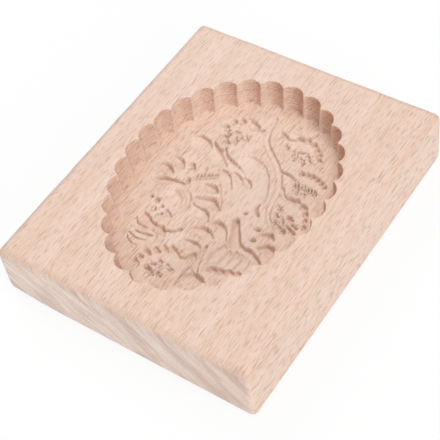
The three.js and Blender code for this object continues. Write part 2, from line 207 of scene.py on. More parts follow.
# Leaves: centre, length, width and heading, then bites (x, y, length, width, heading)
# and nicks (x and y of both ends, width, depth)
LEAVES = (
    (-13.4, 29.3, 14.5, 12, 205,
     ((-10.4, 32.9, 6.4, 4.2, 150), (-14.9, 32.8, 3.4, 2.8, 120), (-17.4, 31.4, 3.2, 2.6, 140),
      (-18.9, 28.4, 2.8, 2.2, 170)),
     ((-14.8, 28.4, -13.2, 28.6, 1.0, 2.3), (-17.0, 27.4, -16.6, 26.4, 0.9, 1.8),
      (-17.2, 24.5, -15.6, 24.6, 1.3, 2.4), (-16.0, 26.2, -15.2, 25.8, 0.9, 2.0),
      (-14.8, 23.2, -13.8, 22.5, 1.1, 2.2), (-12.8, 25.8, -11.3, 23.5, 1.0, 1.9),
      (-11.6, 27.4, -10.9, 26.0, 0.8, 1.6), (-10.2, 28.3, -8.4, 26.5, 0.8, 1.8))),
    (10.4, 31.2, 20.5, 11, -14,
     ((2.2, 34.3, 4.6, 1.3, -22), (7.3, 35.6, 3.6, 1.6, 15), (10.3, 35.9, 3.2, 2.6, 75),
      (13.2, 35.2, 3.0, 2.4, 60), (15.3, 33.5, 2.9, 2.3, 45), (17.2, 32.0, 2.8, 2.2, 35),
      (18.7, 30.2, 3.0, 2.0, -50)),
     ((9.7, 30.4, 11.8, 31.0, 0.9, 2.3), (13.4, 30.7, 14.5, 30.1, 1.1, 2.3),
      (4.6, 31.0, 6.5, 29.3, 0.9, 1.8), (8.0, 30.0, 9.5, 27.9, 0.9, 1.7),
      (10.5, 28.7, 11.0, 26.5, 1.0, 1.9), (12.2, 28.5, 13.2, 27.0, 0.9, 1.8),
      (13.8, 27.6, 14.6, 25.5, 1.0, 1.9), (15.2, 28.8, 16.6, 28.0, 0.9, 1.7),
      (7.6, 31.2, 8.6, 31.0, 0.7, 1.5))),
    (21.0, 19.6, 12.8, 8.2, -4,
     ((16.4, 22.0, 2.4, 1.9, 60), (18.4, 22.6, 2.6, 1.9, 75), (20.4, 22.8, 2.6, 1.9, 75),
      (22.3, 22.2, 2.5, 1.9, 70), (24.1, 21.5, 2.5, 1.9, 50), (26.0, 20.5, 2.5, 1.7, 30)),
     ((16.2, 17.9, 17.2, 16.3, 0.9, 2.3), (17.6, 17.9, 18.6, 16.1, 0.9, 2.4),
      (19.0, 17.9, 19.6, 16.7, 0.8, 2.3), (20.2, 18.2, 20.9, 16.8, 0.8, 2.3),
      (21.4, 18.2, 22.0, 16.8, 0.8, 2.4), (22.5, 18.0, 23.1, 16.6, 0.8, 2.4),
      (23.6, 17.8, 24.2, 16.4, 0.8, 2.4), (24.6, 17.6, 25.0, 16.6, 0.7, 2.2),
      (18.4, 15.3, 19.2, 14.8, 0.8, 1.9), (21.2, 15.4, 22.0, 15.1, 0.7, 1.6))),
    (22.6, 4.4, 16.5, 12.5, -42,
     ((18.4, 10.5, 5.0, 2.6, 12), (21.3, 11.0, 2.6, 2.3, 60), (24.4, 9.8, 3.8, 2.5, -24),
      (26.4, 7.6, 2.9, 2.3, -50), (27.7, 5.2, 2.8, 2.1, -60), (28.9, 2.6, 3.0, 2.0, -60)),
     ((22.3, 4.4, 23.5, 4.0, 1.8, 2.9), (17.3, 6.6, 19.0, 5.2, 0.9, 1.9),
      (18.2, 3.4, 19.0, 2.9, 1.2, 2.2), (20.6, 3.0, 22.5, 0.5, 0.9, 2.1),
      (24.7, 2.6, 26.4, 1.7, 1.5, 2.8), (24.2, 0.7, 27.6, -1.0, 1.4, 2.7),
      (23.2, -1.1, 24.0, -1.7, 1.4, 2.6), (20.4, -0.2, 22.2, -0.6, 1.0, 2.0),
      (19.2, 1.0, 20.2, -0.6, 0.8, 1.8))),
    (-17.4, -13.4, 14, 6.4, -20,
     ((-23.8, -10.2, 1.7, 1.5, 0), (-21.2, -10.9, 3.0, 2.0, -30), (-18.4, -12.3, 2.2, 1.7, -20),
      (-14.4, -14.0, 5.4, 2.3, -28)),
     ((-20.2, -13.6, -19.2, -14.6, 0.9, 1.7), (-16.8, -14.8, -15.8, -15.6, 0.9, 1.7))),
    (-5.0, -31.4, 18.5, 12.5, 207,
     ((-10.8, -30.6, 3.6, 2.0, -25), (-8.6, -28.3, 3.2, 2.2, -20), (-6.3, -26.5, 3.8, 2.3, -28),
      (-12.2, -32.9, 2.6, 1.8, -10)),
     ((-5.6, -31.0, -4.6, -31.6, 1.2, 2.2), (-8.0, -35.2, -6.8, -35.5, 1.9, 2.9),
      (-4.6, -32.6, -4.2, -33.8, 1.1, 2.2), (-5.4, -36.1, -4.4, -37.0, 1.2, 2.4),
      (-3.0, -35.7, -2.0, -36.3, 1.2, 2.3), (-13.0, -34.8, -12.0, -35.2, 1.2, 2.1),
      (-2.4, -31.2, -1.0, -32.2, 0.9, 2.0), (-1.0, -32.2, 0.3, -33.2, 0.9, 2.0),
      (-7.4, -33.4, -6.2, -33.1, 1.0, 2.2))),
)

# Gouge bites: the line along the top of the wall, the ramp's length, the depth and where it is deepest
BLOOM = (
    (((-30.6, 2.2), (-28.7, 3.8), (-26.7, 4.1), (-25.0, 3.4), (-23.2, 1.6)), 5.0, 2.4, 0.55),
    (((-26.6, 7.7), (-24.6, 8.4), (-22.8, 7.8), (-21.4, 6.0), (-20.8, 4.4)), 4.6, 2.2, 0.4),
    (((-20.3, 7.7), (-19.0, 8.4), (-17.9, 7.3), (-17.2, 5.6)), 3.2, 2.2, 0.5),
    (((-10.4, 2.6), (-8.6, 3.4), (-6.6, 3.5), (-5.2, 2.7), (-4.2, 1.2)), 4.2, 2.4, 0.65),
    (((-10.2, -3.5), (-8.0, -2.4), (-5.6, -1.6), (-3.6, -1.4), (-1.6, -2.5), (0.1, -4.6)), 4.8, 2.6, 0.7),
    (((-9.4, -6.2), (-6.4, -6.4), (-3.8, -6.7), (-1.9, -8.0), (-0.7, -10.4)), 5.6, 2.3, 0.65),
    (((-28.5, -3.9), (-27.4, -2.4), (-25.4, -1.3), (-23.0, -1.2), (-20.2, -0.5)), 3.6, 2.2, 0.35),
)
PETALS = (
    (((0.6, -10.4), (1.8, -9.2), (4.0, -8.8), (6.0, -9.6), (7.7, -11.4), (9.3, -14.0)), 4.6, 2.2, 0.35),
    (((-3.4, -15.0), (-1.6, -13.4), (0.8, -12.9), (3.0, -13.6), (5.2, -15.6)), 5.6, 2.2, 0.5),
    (((-3.0, -20.3), (-0.4, -19.6), (2.0, -19.8), (4.0, -21.4)), 4.4, 1.6, 0.5),
    (((18.4, -6.8), (20.0, -5.2), (21.8, -4.8), (23.2, -6.6)), 3.6, 2.2, 0.6),
    (((20.0, -11.6), (21.8, -9.6), (23.8, -9.1), (26.0, -10.0), (27.4, -12.6)), 4.6, 2.5, 0.6),
)
SMALL_PUMPKIN = (
    (((-21.6, -17.4), (-19.2, -17.7), (-16.9, -19.0), (-14.4, -19.9)), 3.6, 2.5, 0.45),
    (((-14.4, -19.8), (-12.6, -19.4), (-10.8, -20.5), (-9.9, -22.6)), 4.4, 2.5, 0.4),
    (((-22.9, -20.4), (-21.2, -21.8), (-19.3, -21.2), (-17.1, -20.9), (-14.8, -21.1)), 3.2, 2.4, 0.5),
    (((-22.0, -27.0), (-20.8, -28.6), (-18.4, -29.6), (-15.8, -29.8)), 1.2, 1.2, 0.5),
)
RIBS = (
    (((9.4, -25.2), (8.4, -22.6), (8.5, -19.6), (9.9, -15.4)), 3.6, 1.5, 0.5),
    (((11.9, -24.2), (11.5, -20.4), (12.2, -16.2)), 3.0, 1.3, 0.6),
    (((14.6, -23.0), (14.4, -19.0), (14.4, -15.6)), 3.2, 1.4, 0.6),
    (((18.0, -22.0), (17.4, -19.0), (16.4, -15.6)), 3.4, 1.5, 0.6),
    (((21.0, -21.4), (20.7, -18.2), (18.8, -15.2)), 3.0, 1.4, 0.6),
)

# Berries and buds: centre, length and width
BERRIES = (
    (11.7, -26.2, 3.6, 3.0), (14.6, -25.4, 3.0, 2.8), (17.3, -24.5, 3.8, 3.4), (19.7, -23.1, 2.6, 2.3),
    (16.2, -5.4, 2.6, 1.7), (17.2, -9.9, 2.2, 1.6),
)

# Bird: hollows of its body, tail and wing, with centre, length, width, heading, depth, taper,
# the direction in which its wall stands and how upright that wall is
BIRD = (
    (2.6, 8.2, 27.5, 17.4, 120, 1.6, 0.12, 50, 0.42), (-21.6, 16.4, 10.6, 8.0, 155, 1.8, 0.0, 75, 0.22),
    (-12.6, 14.4, 16.5, 6.4, 150, 1.4, -0.3, 60, 0.4), (-6.6, 13.4, 12.0, 4.6, 150, 1.3, -0.2, 60, 0.4),
)
# The wing's feathers are gouge bites too
FEATHERS = (
    (((-10.4, 10.4), (-8.8, 11.3), (-6.6, 11.1), (-4.6, 9.8), (-3.0, 7.8), (-1.6, 5.4)), 4.6, 3.0, 0.45),
    (((-5.4, 12.6), (-3.0, 12.3), (-1.0, 11.3), (0.4, 8.9)), 2.8, 2.6, 0.5),
    (((-0.6, 12.1), (1.4, 11.8), (3.0, 10.9), (3.8, 9.2)), 2.4, 2.4, 0.5),
)


def carve(x, y):
    """The whole carving at points of the floor."""
    c = Carving(x, y)
    for leaf in LEAVES:
        c.leaf(*leaf)
    c.groove([(-5.0, -24.9), (-2.8, -25.8), (-0.4, -26.9), (1.7, -26.1), (3.1, -24.0), (4.2, -25.4)],
             1.7, 1.7, 0.4)
    # Vine and stems
    c.groove([(-4.5, 39.0), (-4.2, 34.2), (-2.8, 30.0), (0.2, 26.4), (4.6, 23.0), (8.6, 19.4),
              (11.6, 15.0), (13.5, 10.6), (14.1, 6.0), (15.6, 1.6), (19.2, -2.2)],
             (1.9, 2.3, 2.2, 2.4, 1.4), 1.0, 0.35)
    c.groove([(-3.9, 33), (-6.0, 32.4), (-8.0, 31.6)], (1.2, 1.6, 1.2), 1.0)
    c.groove([(9.6, 19.8), (12.4, 19.6), (15.4, 18.8)], 1.3, 1.3, 0.4)
    c.groove([(0.2, 35.2), (2.6, 33.6), (5.2, 33.9), (8.4, 35.4), (12.0, 35.6)], (0.6, 1.1, 0.8, 0.6), 1.6)
    c.groove([(14.2, 13.4), (15.6, 11.4), (17.0, 10.4)], 1.5, 1.3, 0.4)
    c.groove([(5.0, -19.6), (5.2, -24.0), (6.2, -28.0), (7.6, -30.2)], (1.8, 2.4, 2.0), 1.3, 0.4)
    c.groove([(-10.6, -20.4), (-8.6, -19.5), (-6.8, -17.7)], (1.0, 1.2, 1.7), 1.2)
    # Bloom, petals and fruit
    for bite in BLOOM + PETALS:
        c.bite(*bite)
    c.scoop(-17.0, -25.8, 12.0, 8.4, 2, 0.9)
    for bite in SMALL_PUMPKIN:
        c.bite(*bite)
    c.groove([(-20.4, -25.0), (-17.2, -24.2), (-14.0, -23.9)], (0.5, 1.1, 0.8), 2.2)
    c.groove([(-21.8, -26.6), (-18.4, -27.0), (-14.8, -26.4)], (0.4, 0.9, 0.5), 1.7)
    c.scoop(16.0, -19.0, 17.0, 11.6, -20, 1.2, soft=0.8, wall=0.5)
    for rib in RIBS:
        c.bite(*rib, deeper=True)
    c.bite(((12.8, -10.8), (14.4, -12.9), (16.2, -13.8), (19.0, -13.7), (22.0, -14.8), (24.4, -16.8)),
           2.6, 2.2, 0.85)
    c.bite(((23.8, -15.8), (24.2, -18.6), (22.9, -21.2), (20.6, -23.4)), 2.2, 1.3, 0.3)
    # Double row of dots, heart and stems of the bloom, stalk of the large pumpkin
    c.groove([(-15.2, 3.4), (-12.0, 5.4), (-8.9, 7.4)], (1.4, 2.4, 2.2), 0.6)
    for i in range(7):
        c.nick(-15.2 + i, 3.5 + i * 0.66, -14.9 + i, 4.7 + i * 0.66, 0.9, 1.9)
        c.nick(-14.6 + i, 2.5 + i * 0.66, -14.4 + i, 3.2 + i * 0.66, 0.8, 1.6)
    for i, width in enumerate((10.2, 7.6, 5.0)):
        c.scoop(-15.2 - i * 0.6, -7.6 + i * 0.5, width + 2.2, width, -60, 1.3 + i * 0.7, steep=-10, wall=0.22)
    c.scoop(-16.4, 1.0, 3.0, 1.8, -50, 2.0)
    c.groove([(-22.0, -1.8), (-19.0, -1.0), (-16.8, -0.6)], 1.0, 1.2)
    c.groove([(7.9, -5.6), (9.8, -9.0), (12.4, -13.4)], (2.6, 2.8, 4.4), 2.4, 0.35)
    # Apple and berries
    c.scoop(8.4, -33.2, 8.8, 7.0, 0, 1.2)
    c.bite(((5.2, -28.4), (6.8, -29.8), (8.8, -30.2), (10.8, -30.4), (12.3, -31.8), (12.8, -34.0),
            (11.8, -36.4)), 4.8, 1.9, 0.5, deeper=True)
    c.bite(((7.4, -36.4), (5.6, -35.4), (4.6, -33.6), (4.8, -31.4)), 2.4, 0.9, 0.5, deeper=True)
    for cx, cy, length, width in BERRIES:
        c.scoop(cx, cy, length, width, 0, 2.4)
    # Bird
    for cx, cy, length, width, heading, depth, taper, steep, wall in BIRD:
        c.scoop(cx, cy, length, width, heading, depth, taper, steep, wall=wall)
    for line, run, depth, peak in FEATHERS:
        c.bite(line, run, 0.6 * depth, peak, deeper=True)
    c.groove([(-18.2, 20.2), (-15.2, 18.3), (-12.0, 15.9), (-8.6, 13.5)], (0.8, 1.2, 1.1, 0.7), 2.0)
    c.groove([(-13.4, 20.0), (-10.6, 16.8), (-5.2, 15.2), (-0.6, 13.2)], (0.8, 1.1, 0.9, 0.6), 1.7)
    c.groove([(10.4, 4.2), (11.4, 1.2), (13.0, -0.5)], (0.9, 1.3, 1.0), 2.0)
    c.groove([(-11.6, 12.6), (-8.8, 8.4), (-5.4, 4.6), (-1.4, -0.8), (0.6, -4.8)], (0.5, 0.7, 0.6), 0.6)
    c.scoop(8.5, -1.2, 1.8, 1.5, 0, 3.0)
    return c


# The block's surface is made of rings of points, with one point per column in each
turn = np.linspace(0, 2 * np.pi, 20001)
land_x = -RIDGE_HALF_WIDTH * np.sin(turn) * (1 + EGG_TAPER * np.cos(turn))
land_y = RIDGE_HALF_LENGTH * np.cos(turn)
land_along = np.r_[0, np.cumsum(np.hypot(np.diff(land_x), np.diff(land_y)))]
pitch = land_along[-1] / FLUTE_COUNT


def on_land_curve(along):
    """Points and outward normals of the line through the lands between the flutes."""
    def at(shift):
        place = (along + FIRST_FLUTE_OFFSET + shift) % land_along[-1]
        return np.interp(place, land_along, land_x), np.interp(place, land_along, land_y)
    (x, y), (ahead_x, ahead_y), (back_x, back_y) = at(0), at(0.05), at(-0.05)
    tx, ty = ahead_x - back_x, ahead_y - back_y
    n = np.hypot(tx, ty)
    return x, y, ty / n, -tx / n


column = np.arange(COLUMNS)
flute = column // COLUMNS_PER_FLUTE
share_across = 2 * (column % COLUMNS_PER_FLUTE) / (COLUMNS_PER_FLUTE - 1) - 1
flute_depth = FLUTE_DEPTH - DEPTH_SPREAD * random.uniform(0, 1, FLUTE_COUNT)[flute]
# Cutter marks are shifted from flute to flute, and mirrored in every other one
mark_start = np.cumsum(random.uniform(0.8, 2.0, FLUTE_COUNT))[(flute + 10) % FLUTE_COUNT]
across_flute = share_across * pitch / 2 * np.where(flute % 2, -1, 1)
# The same columns spaced evenly, and their flutes counted from the far end over the left side
even = (column / COLUMNS_PER_FLUTE + 0.5 / COLUMNS_PER_FLUTE - 0.5) * pitch
station = (even / pitch + 10) % FLUTE_COUNT - 10
ridge_x, ridge_y, out_x, out_y = on_land_curve(even)


def fluted(inset, z):
    """Ring of the fluted wall at one height; the lands between the flutes widen downwards."""
    down = min(max((THICKNESS - z) / RECESS_DEPTH, 0), 1)
    half = (pitch - RIM_LAND - (FOOT_LAND - RIM_LAND) * down) / 2
    aside = share_across * half
    radius = (half ** 2 + flute_depth ** 2) / (2 * flute_depth)
    x, y, nx, ny = on_land_curve(flute * pitch + aside)
    wobble = 0.05 * noise2(x + z, y - z, 3.0, 21)
    reach = np.sqrt(radius ** 2 - aside ** 2) - (radius - flute_depth) - inset - np.abs(wobble)
    return np.stack([OFFSET_X + x + nx * reach, OFFSET_Y + y + ny * reach, np.full(COLUMNS, z)], 1)


def plank(inset, z):
    """Ring of the outer rounded rectangle; inset and z may differ from column to column."""
    angle = np.arctan2(OFFSET_Y + ridge_y, OFFSET_X + ridge_x)
    c, s = np.cos(angle), np.sin(angle)
    hx, hy = WIDTH / 2 - inset, LENGTH / 2 - inset
    r = np.maximum(CORNER_RADIUS - inset, 0.2)
    t = np.minimum(hx / np.maximum(np.abs(c), 1e-9), hy / np.maximum(np.abs(s), 1e-9))
    in_corner = (np.abs(c) * t > hx - r) & (np.abs(s) * t > hy - r)
    b = np.abs(c) * (hx - r) + np.abs(s) * (hy - r)
    reach = b + np.sqrt(np.maximum(b * b - (hx - r) ** 2 - (hy - r) ** 2 + r * r, 0))
    t = np.where(in_corner, reach, t)
    return np.stack([c * t, s * t, np.broadcast_to(z, c.shape)], 1)


def quarter_turn(steps):
    """Angles from 0 to a right angle."""
    return [step / steps * math.pi / 2 for step in range(steps + 1)]


def block_rings():
    """Rings from the underside up and over to the floor, and how far each point is cut wall.

    The last two results are the numbers of the top edge's first ring and of the wall's first ring.
    """
    rings, cut = [], []

    def add(ring, is_cut=0.0):
        rings.append(ring)
        cut.append(np.broadcast_to(is_cut, (COLUMNS,)))

    # Underside, from the middle outwards, then up the sides
    angle = np.arctan2(ridge_y, ridge_x)
    near_left = np.exp(-((angle - NEAR_LEFT_ANGLE) / CORNER_SPREAD) ** 2)
    near_right = np.exp(-((angle - NEAR_RIGHT_ANGLE) / CORNER_SPREAD) ** 2)
    low_radius = BOTTOM_EDGE_RADIUS + NEAR_LEFT_EXTRA * near_left
    waver = EDGE_WAVER * noise2(angle * 20, 0 * angle, 3.0, 5)
    high_radius = TOP_EDGE_RADIUS + NEAR_RIGHT_EXTRA * near_right + waver
    for share in (0.4, 0.98):
        ring = plank(low_radius, 0.0)
        ring[:, :2] *= share
        add(ring)
    for a in quarter_turn(4):
        add(plank(low_radius * (1 - math.sin(a)), low_radius * (1 - math.cos(a))))
    add(plank(0.0, low_radius + 0.5))
    add(plank(0.0, THICKNESS - high_radius - 0.5))
    first_edge = len(rings)
    for a in quarter_turn(5):
        add(plank(high_radius * (1 - math.cos(a)), THICKNESS - high_radius * (1 - math.sin(a))))
    # Top face, from its edge in to the rim of the recess
    outer, inner = rings[-1], fluted(-RIM_EASE, THICKNESS)
    for share in (0.03, 0.5, 0.97):
        add(outer + (inner - outer) * share)
    add(inner)
    add(fluted(-RIM_EASE * 0.3, THICKNESS - RIM_EASE * 0.35), 0.5)
    # Wall, whose tone fades into the floor's on the near left
    first_wall = len(rings)
    add(fluted(0.03, THICKNESS - RIM_EASE), 1)
    foot_top = FLOOR_Z + FOOT_RADIUS
    fade = 0.8 * np.clip((-out_x - 0.4) / 0.35, 0, 1) * np.clip((station - 8) / 2.5, 0, 1)
    for z in np.linspace(THICKNESS - RIM_EASE, foot_top, WALL_RINGS + 1)[1:]:
        lowness = np.clip(1 - (z - FLOOR_Z - 0.8) / 3.8, 0, 1)
        add(fluted(WALL_DRAFT * (THICKNESS - z) / RECESS_DEPTH, z), 1 - fade * lowness)
    for a, share in zip(quarter_turn(3)[1:], (1, 1, 0.55)):
        inset = WALL_DRAFT + FOOT_RADIUS * (1 - math.cos(a))
        add(fluted(inset, foot_top - FOOT_RADIUS * math.sin(a)), share * (1 - fade))
    # Band of floor that smooths the flutes out
    foot = rings[-1]
    smooth = np.stack([OFFSET_X + ridge_x - out_x * BAND_WIDTH, OFFSET_Y + ridge_y - out_y * BAND_WIDTH,
                       np.full(COLUMNS, FLOOR_Z)], 1)
    for k in range(1, BAND_RINGS + 1):
        add(foot + (smooth - foot) * k / BAND_RINGS)
    return rings, cut, first_edge, first_wall


def floor_patch(edge, first):
    """Square patch of floor inside the last ring, whose first point has the number first.

    Gives the points within the patch, and the point numbers of its whole grid.
    """
    n = COLUMNS // 4
    idx = np.arange(n + 1)
    left, near, right, far = ((PATCH_START + start + way * idx) % COLUMNS
                              for start, way in ((n, -1), (n, 1), (2 * n, 1), (4 * n, -1)))
    u, v = np.meshgrid(idx / n, idx / n, indexing="ij")
    u, v = u[..., None], v[..., None]
    patch = ((1 - v) * edge[near][:, None] + v * edge[far][:, None]
             + (1 - u) * edge[left][None] + u * edge[right][None]
             - (1 - u) * (1 - v) * edge[near[0]] - u * (1 - v) * edge[near[-1]]
             - (1 - u) * v * edge[far[0]] - u * v * edge[far[-1]])
    within = (n - 1) ** 2
    number = np.zeros((n + 1, n + 1), int)
    number[1:-1, 1:-1] = first + COLUMNS + np.arange(within).reshape(n - 1, n - 1)
    number[0, :] = first + left
    number[:, 0] = first + near
    number[-1, :] = first + right
    number[:, -1] = first + far
    return np.concatenate([patch[1:-1, 1:-1].reshape(-1, 2), np.full((within, 1), FLOOR_Z)], 1), number


def floor_look(x, y):
    """Depth of the carving at points of the floor, and the values that colour it there."""
    carving = carve(x, y)
    depth = carving.depth
    step = 0.3
    east, west, north, south = (carve(x + step * i, y + step * k).depth
                                for i, k in ((1, 0), (-1, 0), (0, 1), (0, -1)))
    fall_x, fall_y = (east - west) / (2 * step), (north - south) / (2 * step)
    slope = np.hypot(fall_x, fall_y)
    # Walls that fall towards the near left are darkest
    facing = -(0.5 * fall_x + 0.87 * fall_y) / np.maximum(slope, 1e-6)
    bend = (east + west + north + south) / 4 - depth
    outward = np.hypot((x - OFFSET_X) / RIDGE_HALF_WIDTH, (y - OFFSET_Y) / RIDGE_HALF_LENGTH)
    far_right = 0.5 * (y - OFFSET_Y) / RIDGE_HALF_LENGTH + 0.5 * np.clip(x / RIDGE_HALF_WIDTH, -0.3, 1)
    hollow = np.clip(depth / 0.9, 0, 1)
    # Crescents are painted shade on steep walls turned from the light, crests a painted highlight on convex
    # edges, and the floor near the wall gets painted light
    return depth, {"crescent": np.clip((slope - 0.35) / 1.2, 0, 1) * np.clip(0.25 + 0.9 * facing, 0, 1),
                   "crest_highlight": np.clip((bend - 0.09) / 0.25, 0, 1),
                   "painted_floor_light": np.clip((outward - 0.6) / 0.4, 0, 1) * np.clip(0.75 + far_right, 0, 1.2),
                   "hollow": hollow, "plain_floor": 1 - hollow, "torn": carving.torn}


def land_highlights():
    """Painted highlight on each column of the wall: on the lands and, on the left, a band beside them."""
    lands = np.clip((np.abs(share_across) - 0.86) / 0.12, 0, 1)
    lands *= np.clip(1 + 1.7 * out_x, 0.35, 1) * np.clip(1 + out_y, 0.4, 1)
    beside = np.clip((share_across - 0.45) / 0.3, 0, 1) * np.clip(-1.6 * out_x, 0, 1)
    return np.maximum(lands, 0.5 * beside)


def block_mesh():
    """The whole surface of the block as one mesh, with the values that colour it as attributes."""
    rings, cut, first_edge, first_wall = block_rings()
    ring_count = len(rings)
    first_band = ring_count - BAND_RINGS
    inner_points, number = floor_patch(rings[-1][:, :2], (ring_count - 1) * COLUMNS)
    points = np.vstack(rings + [inner_points])
    floor = np.arange(len(points)) >= first_band * COLUMNS
    x, y = points[floor, 0], points[floor, 1]
    depth, on_floor = floor_look(x, y)
    points[floor, 2] -= depth + 0.06 * noise2(x, y, 7, 31) + 0.03 * noise2(x, y, 1.6, 32)

    values = {name: np.zeros(len(points)) for name in (*on_floor, *RING_VALUES)}
    for name, value in on_floor.items():
        values[name][floor] = value

    def on_rings(name, first, rows):
        for k, row in enumerate(rows, first):
            values[name][k * COLUMNS:(k + 1) * COLUMNS] = row

    on_rings("cut_wall", 0, cut)
    # The rounded top edge is a little darker
    on_rings("darker_top_edge", first_edge, (0.0, 0.8, 1.0, 1.0, 0.8, 0.0))
    lands = land_highlights()
    # Painted highlight on the lands, stronger towards the foot of the wall
    on_rings("crest_highlight", first_wall, [lands * (0.35 + 0.65 * (THICKNESS - ring[0, 2]) / RECESS_DEPTH)
                                   for ring in rings[first_wall:first_band - 1]])
    # Shade in the corner between the wall and the floor, strongest on the left
    shade = np.clip(0.7 - 0.6 * out_x, 0.25, 1)
    on_rings("foot_shade", first_band - 4, [share * shade for share in (0.2, 0.6, 0.9, 0.7, 0.15)])
    # Painted light on the flanks of the flutes in the far left corner, and painted shade on the far
    # flank of each flute along the left
    flank_light = (np.exp(-((station - np.where(share_across < 0, 1.6, 3.2)) / 2.2) ** 2)
                   * np.clip((np.abs(share_across) - 0.25) / 0.4, 0, 1))
    painted_flank_shade = (np.interp(station, (2, 3, 5, 7, 9, 11), (0, 0.45, 0.8, 0.8, 0.7, 0))
                  * np.exp(-((share_across + 0.42) / 0.36) ** 2))
    for name, row in (("flank_light", flank_light), ("painted_flank_shade", painted_flank_shade),
                      ("across_flute", across_flute), ("mark_start", mark_start)):
        on_rings(name, 0, [row] * ring_count)

    # Faces: rings are counter-clockwise seen from above; a fan closes the underside
    here, beyond = column, (column + 1) % COLUMNS
    quads = [np.stack([low + here, low + beyond, low + COLUMNS + beyond, low + COLUMNS + here], 1)
             for low in range(0, (ring_count - 1) * COLUMNS, COLUMNS)]
    grid = np.stack([number[:-1, :-1], number[1:, :-1], number[1:, 1:], number[:-1, 1:]], -1)
    quads.append(grid.reshape(-1, 4))
    fan = np.stack([beyond, here, np.full(COLUMNS, len(points))], 1)
    points = np.vstack([points, [[0, 0, 0]]])

    mesh = bpy.data.meshes.new("carved_beech")
    mesh.from_pydata((points * MM).tolist(), [], np.vstack(quads).tolist() + fan.tolist())
    for name, value in values.items():
        value = np.append(value, 0).astype(np.float32)
        mesh.attributes.new(name, "FLOAT", "POINT").data.foreach_set("value", value)
    mesh.shade_smooth()
    mesh.update()
    return mesh


block = bpy.data.objects.new("carved_block", block_mesh())
bpy.context.scene.collection.objects.link(block)
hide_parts("mould_block")
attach(block, "root")


# Materials
def srgb(r, g, b):
    def lin(c):
        c /= 255
        return c / 12.92 if c <= 0.04045 else ((c + 0.055) / 1.055) ** 2.4
    return lin(r), lin(g), lin(b), 1.0


class Tree:
    """Small helper that adds nodes to a material or world and joins them."""
    def __init__(self, owner):
        owner.use_nodes = True
        self.nodes, self.links = owner.node_tree.nodes, owner.node_tree.links
        self.nodes.clear()

    def add(self, kind, inputs=(), out=0, **settings):
        """A new node's output; inputs are values, or outputs of other nodes."""
        node = self.nodes.new(kind)
        for name, value in settings.items():
            setattr(node, name, value)
        for key, value in dict(inputs).items():
            if hasattr(value, "is_output"):
                self.links.new(value, node.inputs[key])
            else:
                node.inputs[key].default_value = value
        return node.outputs[out] if len(node.outputs) else None

    def attribute(self, name):
        return self.add("ShaderNodeAttribute", out=2, attribute_name=name)

    def axis(self, vector, index):
        return self.add("ShaderNodeSeparateXYZ", {"Vector": vector}, out=index)

    def math(self, operation, a, b=0.0):
        return self.add("ShaderNodeMath", {0: a, 1: b}, operation=operation)

    def plus(self, a, b):
        return self.math("ADD", a, b)

    def times(self, a, b):
        return self.math("MULTIPLY", a, b)

    def rest(self, a):
        return self.math("SUBTRACT", 1.0, a)

    def ramp(self, value, low, high):
        """Smooth step from 0 at low to 1 at high."""
        return self.add("ShaderNodeMapRange", {"Value": value, "From Min": low, "From Max": high},
                        clamp=True, interpolation_type="SMOOTHSTEP")

    def stretch(self, vector, x, y, z):
        return self.add("ShaderNodeVectorMath", {0: vector, 1: (x, y, z)}, operation="MULTIPLY")

    def noise(self, vector, detail=2.0, rough=0.6, distortion=0.0):
        return self.add("ShaderNodeTexNoise", {"Vector": vector, "Scale": 1.0, "Detail": detail,
                                               "Roughness": rough, "Distortion": distortion})

    def layers(self, place, detail=2.0, rough=0.6):
        """Noise that changes along one direction only."""
        return self.add("ShaderNodeTexNoise", {"W": place, "Scale": 1.0, "Detail": detail,
                                               "Roughness": rough}, noise_dimensions="1D")

    def mix(self, factor, a, b, blend="MIX"):
        return self.add("ShaderNodeMix", {0: factor, 6: a, 7: b}, out=2, data_type="RGBA", blend_type=blend)

    def tint(self, factor, tone, r, g, b):
        """The tone, multiplied by a colour as far as factor says."""
        return self.mix(factor, tone, (r, g, b, 1.0), "MULTIPLY")


def end_grain_tone(t, mm, bands):
    """Fine slanting lines and pinkish patches; the right-hand part is darker and calmer."""
    slant = t.add("ShaderNodeMapping", {"Vector": mm, "Rotation": (0.0, math.radians(-39), 0.0)})
    strokes = t.noise(t.stretch(slant, 0.10, 0.02, 2.5), 3.0, 0.62, 0.35)
    crossing = t.noise(t.stretch(slant, 1.2, 0.02, 0.9))
    patches = t.noise(t.stretch(slant, 0.035, 0.02, 0.13), 2.0, 0.5)
    rightward = t.ramp(t.axis(mm, 0), 12.0, 52.0)
    contrast = t.math("SUBTRACT", 0.50, t.times(rightward, 0.35))
    tone = t.mix(t.ramp(bands, 0.3, 0.7), srgb(240, 222, 210), srgb(231, 208, 196))
    tone = t.mix(t.times(t.ramp(patches, 0.50, 0.64), 0.55), tone, srgb(206, 174, 163))
    tone = t.tint(rightward, tone, 0.98, 0.955, 0.93)
    tone = t.mix(t.times(t.ramp(strokes, 0.50, 0.64), contrast), tone, srgb(190, 163, 152))
    tone = t.mix(t.times(t.ramp(strokes, 0.47, 0.36), contrast), tone, srgb(254, 242, 232))
    return t.mix(t.times(t.ramp(crossing, 0.50, 0.66), 0.22), tone, srgb(190, 162, 152))


